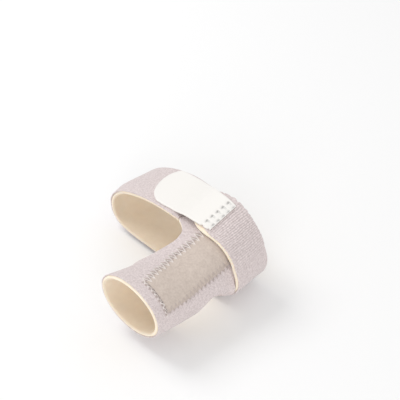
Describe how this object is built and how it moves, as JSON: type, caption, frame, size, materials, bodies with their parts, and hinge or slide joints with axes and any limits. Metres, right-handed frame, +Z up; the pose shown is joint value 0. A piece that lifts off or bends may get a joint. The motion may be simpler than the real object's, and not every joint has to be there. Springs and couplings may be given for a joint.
{
  "type": "toe brace",
  "caption": "Foam-backed knit brace that keeps a big toe straight: a toe sleeve and side panel sewn to a forefoot band with a hook tab.",
  "frame": {"origin": "middle of the hollow that the forefoot fills, half way along the band", "axes": "+X to the inner side of the foot, +Y to the heel (the toes are at -Y), +Z up from the sole"},
  "size_m": [0.0926, 0.0734, 0.047],
  "materials": {
    "foam": "cream cut foam with a brushed lining",
    "knit": "pale pinkish grey fine knit, matte",
    "suede": "beige suede, matte",
    "hook_tab": "white smooth tape, back of a hook fastener"
  },
  "bodies": {
    "root": {"toe_sleeve_foam": "foam", "toe_sleeve_knit": "knit", "foot_band_foam": "foam", "foot_band_knit": "knit", "splint_patch": "suede", "hook_tab": "hook_tab"}
  },
  "joints": []
}
